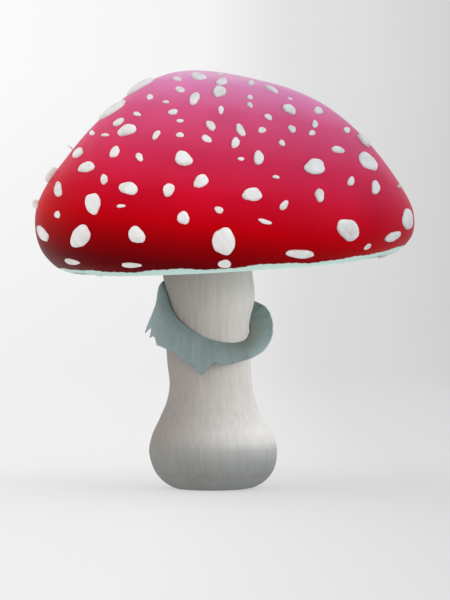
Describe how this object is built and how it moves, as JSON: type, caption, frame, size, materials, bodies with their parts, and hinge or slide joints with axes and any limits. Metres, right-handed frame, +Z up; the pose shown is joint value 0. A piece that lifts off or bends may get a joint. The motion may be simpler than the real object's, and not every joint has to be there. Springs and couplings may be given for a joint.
{
  "type": "fly agaric mushroom",
  "caption": "Whole picked fly agaric mushroom: lopsided red cap with raised white flakes, pale gills, bulbous stem and a torn grey ring.",
  "frame": {"origin": "centre of the flat foot under the bulb", "axes": "+Z up along the stem, +X to the right seen from the front, -Y towards the front"},
  "size_m": [0.113, 0.1118, 0.1253],
  "materials": {
    "cap": "smooth red skin with a slightly moist satin sheen, pinker and paler at the crown",
    "gills": "pale, soft and matt, thin crowded blades",
    "stem": "matt, finely fibrous, greyer at the bulb",
    "ring": "thin matt membrane, blue-grey, torn along its edge",
    "wart": "matt off-white, dry and slightly crumbly"
  },
  "bodies": {
    "root": {"cap": "cap", "gills": "gills", "stem": "stem", "ring": "ring", "wart_01": "wart", "wart_02": "wart", "wart_03": "wart", "wart_04": "wart", "wart_05": "wart", "wart_06": "wart", "wart_07": "wart", "wart_08": "wart", "wart_09": "wart", "wart_10": "wart", "wart_11": "wart", "wart_12": "wart", "wart_13": "wart", "wart_14": "wart", "wart_15": "wart", "wart_16": "wart", "wart_17": "wart", "wart_18": "wart", "wart_19": "wart", "wart_20": "wart", "wart_21": "wart", "wart_22": "wart", "wart_23": "wart", "wart_24": "wart", "wart_25": "wart", "wart_26": "wart", "wart_27": "wart", "wart_28": "wart", "wart_29": "wart", "wart_30": "wart", "wart_31": "wart", "wart_32": "wart", "wart_33": "wart", "wart_34": "wart", "wart_35": "wart", "wart_36": "wart", "wart_37": "wart", "wart_38": "wart", "wart_39": "wart", "wart_40": "wart", "wart_41": "wart", "wart_42": "wart", "wart_43": "wart", "wart_44": "wart", "wart_45": "wart", "wart_46": "wart", "wart_47": "wart", "wart_48": "wart", "wart_49": "wart", "wart_50": "wart", "wart_51": "wart", "wart_52": "wart", "wart_53": "wart", "wart_54": "wart", "wart_55": "wart", "wart_56": "wart"}
  },
  "joints": []
}
